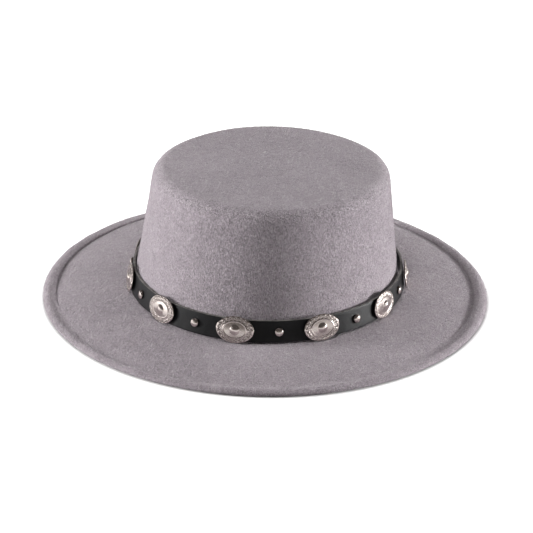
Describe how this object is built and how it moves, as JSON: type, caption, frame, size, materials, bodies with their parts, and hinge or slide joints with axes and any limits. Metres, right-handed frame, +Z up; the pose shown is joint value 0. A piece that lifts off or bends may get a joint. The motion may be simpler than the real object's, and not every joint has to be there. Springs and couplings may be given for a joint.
{
  "type": "gambler hat",
  "caption": "Flat-crowned felt hat with a folded brim edge and a leather band set with oval metal medallions and round studs, hollow and open below for the head.",
  "frame": {"origin": "on the surface that the hat rests on, under the middle of its brim", "axes": "+Z up through the crown, -Y to the front of the hat, +X to the wearer's left"},
  "size_m": [0.2916, 0.3148, 0.0893],
  "materials": {
    "felt": "matt grey felt with a short nap",
    "band_leather": "satin black leather",
    "trim_metal": "polished nickel silver, darkened in the relief"
  },
  "bodies": {
    "root": {"felt_body": "felt", "hat_band": "band_leather", "medallion_01": "trim_metal", "medallion_02": "trim_metal", "medallion_03": "trim_metal", "medallion_04": "trim_metal", "medallion_05": "trim_metal", "medallion_06": "trim_metal", "medallion_07": "trim_metal", "medallion_08": "trim_metal", "medallion_09": "trim_metal", "medallion_10": "trim_metal", "stud_01": "trim_metal", "stud_02": "trim_metal", "stud_03": "trim_metal", "stud_04": "trim_metal", "stud_05": "trim_metal", "stud_06": "trim_metal", "stud_07": "trim_metal", "stud_08": "trim_metal", "stud_09": "trim_metal", "stud_10": "trim_metal", "stud_11": "trim_metal"}
  },
  "joints": []
}
